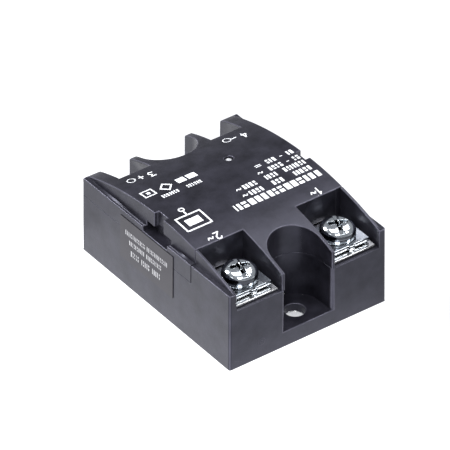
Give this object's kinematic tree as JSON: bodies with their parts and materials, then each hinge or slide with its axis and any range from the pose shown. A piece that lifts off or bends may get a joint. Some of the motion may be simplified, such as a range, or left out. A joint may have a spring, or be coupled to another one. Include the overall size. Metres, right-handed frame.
{
  "type": "solid state relay",
  "caption": "Panel-mount solid state relay: arched black body on a metal heat-sink base, clamp-screw power terminals at the front and control terminals at the back.",
  "frame": {"origin": "centre of the heat-sink face, on the mounting plane", "axes": "+Z away from the heat sink; +Y along the long side towards the control terminals, -Y towards the power terminals; +X to the right seen from the power end"},
  "size_m": [0.0449, 0.0582, 0.0256],
  "materials": {
    "black_plastic": "fine spark-eroded texture, satin",
    "label_film": "satin polyester seal label with pale print",
    "aluminium": "milled",
    "alumina": "matte fired alumina",
    "copper": "bare copper",
    "silicon": "polished silicon with metallised top",
    "tinned_metal": "tin-plated",
    "zinc_steel": "bright zinc plate with a faint blue passivation",
    "plain_steel": "plain steel",
    "board_green": "solder-masked laminate",
    "package_white": "moulded",
    "package_black": "moulded",
    "varistor_blue": "dipped epoxy",
    "capacitor_red": "moulded box",
    "resistor_body": "cement coat",
    "led_green": "clear tinted epoxy",
    "clear_pipe": "frosted clear moulding"
  },
  "bodies": {
    "relay_body": {"housing": "black_plastic", "cover": "black_plastic", "seal_label": "label_film", "baseplate": "aluminium", "ceramic_substrate": "alumina", "circuit_board": "board_green", "optocoupler": "package_white", "input_regulator": "package_black", "bridge_rectifier": "package_black", "varistor": "varistor_blue", "snubber_capacitor": "capacitor_red", "snubber_resistor": "resistor_body", "status_led": "led_green", "light_pipe": "clear_pipe", "load_pad": "copper", "load_thyristor": "silicon", "load_cathode_strap": "copper", "load_gate_pin": "tinned_metal", "load_terminal": "tinned_metal", "load_nut": "plain_steel", "line_pad": "copper", "line_thyristor": "silicon", "line_cathode_strap": "copper", "line_gate_pin": "tinned_metal", "line_terminal": "tinned_metal", "line_nut": "plain_steel", "positive_terminal": "tinned_metal", "positive_nut": "plain_steel", "negative_terminal": "tinned_metal", "negative_nut": "plain_steel"},
    "load_clamp_plate": {"load_clamp": "zinc_steel"},
    "load_clamp_screw": {"load_screw": "zinc_steel"},
    "line_clamp_plate": {"line_clamp": "zinc_steel"},
    "line_clamp_screw": {"line_screw": "zinc_steel"},
    "positive_clamp_plate": {"positive_clamp": "zinc_steel"},
    "positive_clamp_screw": {"positive_screw": "zinc_steel"},
    "negative_clamp_plate": {"negative_clamp": "zinc_steel"},
    "negative_clamp_screw": {"negative_screw": "zinc_steel"}
  },
  "joints": [
    {"name": "load_clamp_lift", "type": "slide", "parent": "relay_body", "child": "load_clamp_plate", "axis": [0, 0, 1], "range_m": [0, 0.004]},
    {"name": "load_screw_turn", "type": "hinge", "parent": "load_clamp_plate", "child": "load_clamp_screw", "pos_m": [-0.0139, -0.0214, 0.018], "axis": [0, 0, 1], "range_deg": [0, 1800]},
    {"name": "line_clamp_lift", "type": "slide", "parent": "relay_body", "child": "line_clamp_plate", "axis": [0, 0, 1], "range_m": [0, 0.004]},
    {"name": "line_screw_turn", "type": "hinge", "parent": "line_clamp_plate", "child": "line_clamp_screw", "pos_m": [0.0139, -0.0214, 0.018], "axis": [0, 0, 1], "range_deg": [0, 1800]},
    {"name": "positive_clamp_lift", "type": "slide", "parent": "relay_body", "child": "positive_clamp_plate", "axis": [0, 0, 1], "range_m": [0, 0.003]},
    {"name": "positive_screw_turn", "type": "hinge", "parent": "positive_clamp_plate", "child": "positive_clamp_screw", "pos_m": [-0.0131, 0.0246, 0.0149], "axis": [0, 0, 1], "range_deg": [0, 2160]},
    {"name": "negative_clamp_lift", "type": "slide", "parent": "relay_body", "child": "negative_clamp_plate", "axis": [0, 0, 1], "range_m": [0, 0.003]},
    {"name": "negative_screw_turn", "type": "hinge", "parent": "negative_clamp_plate", "child": "negative_clamp_screw", "pos_m": [0.0131, 0.0246, 0.0149], "axis": [0, 0, 1], "range_deg": [0, 2160]}
  ],
  "couplings": [
    {"joint": "load_screw_turn", "follows": "load_clamp_lift", "rad_per_m": 7853.9},
    {"joint": "line_screw_turn", "follows": "line_clamp_lift", "rad_per_m": 7853.9},
    {"joint": "positive_screw_turn", "follows": "positive_clamp_lift", "rad_per_m": 12566},
    {"joint": "negative_screw_turn", "follows": "negative_clamp_lift", "rad_per_m": 12566}
  ]
}
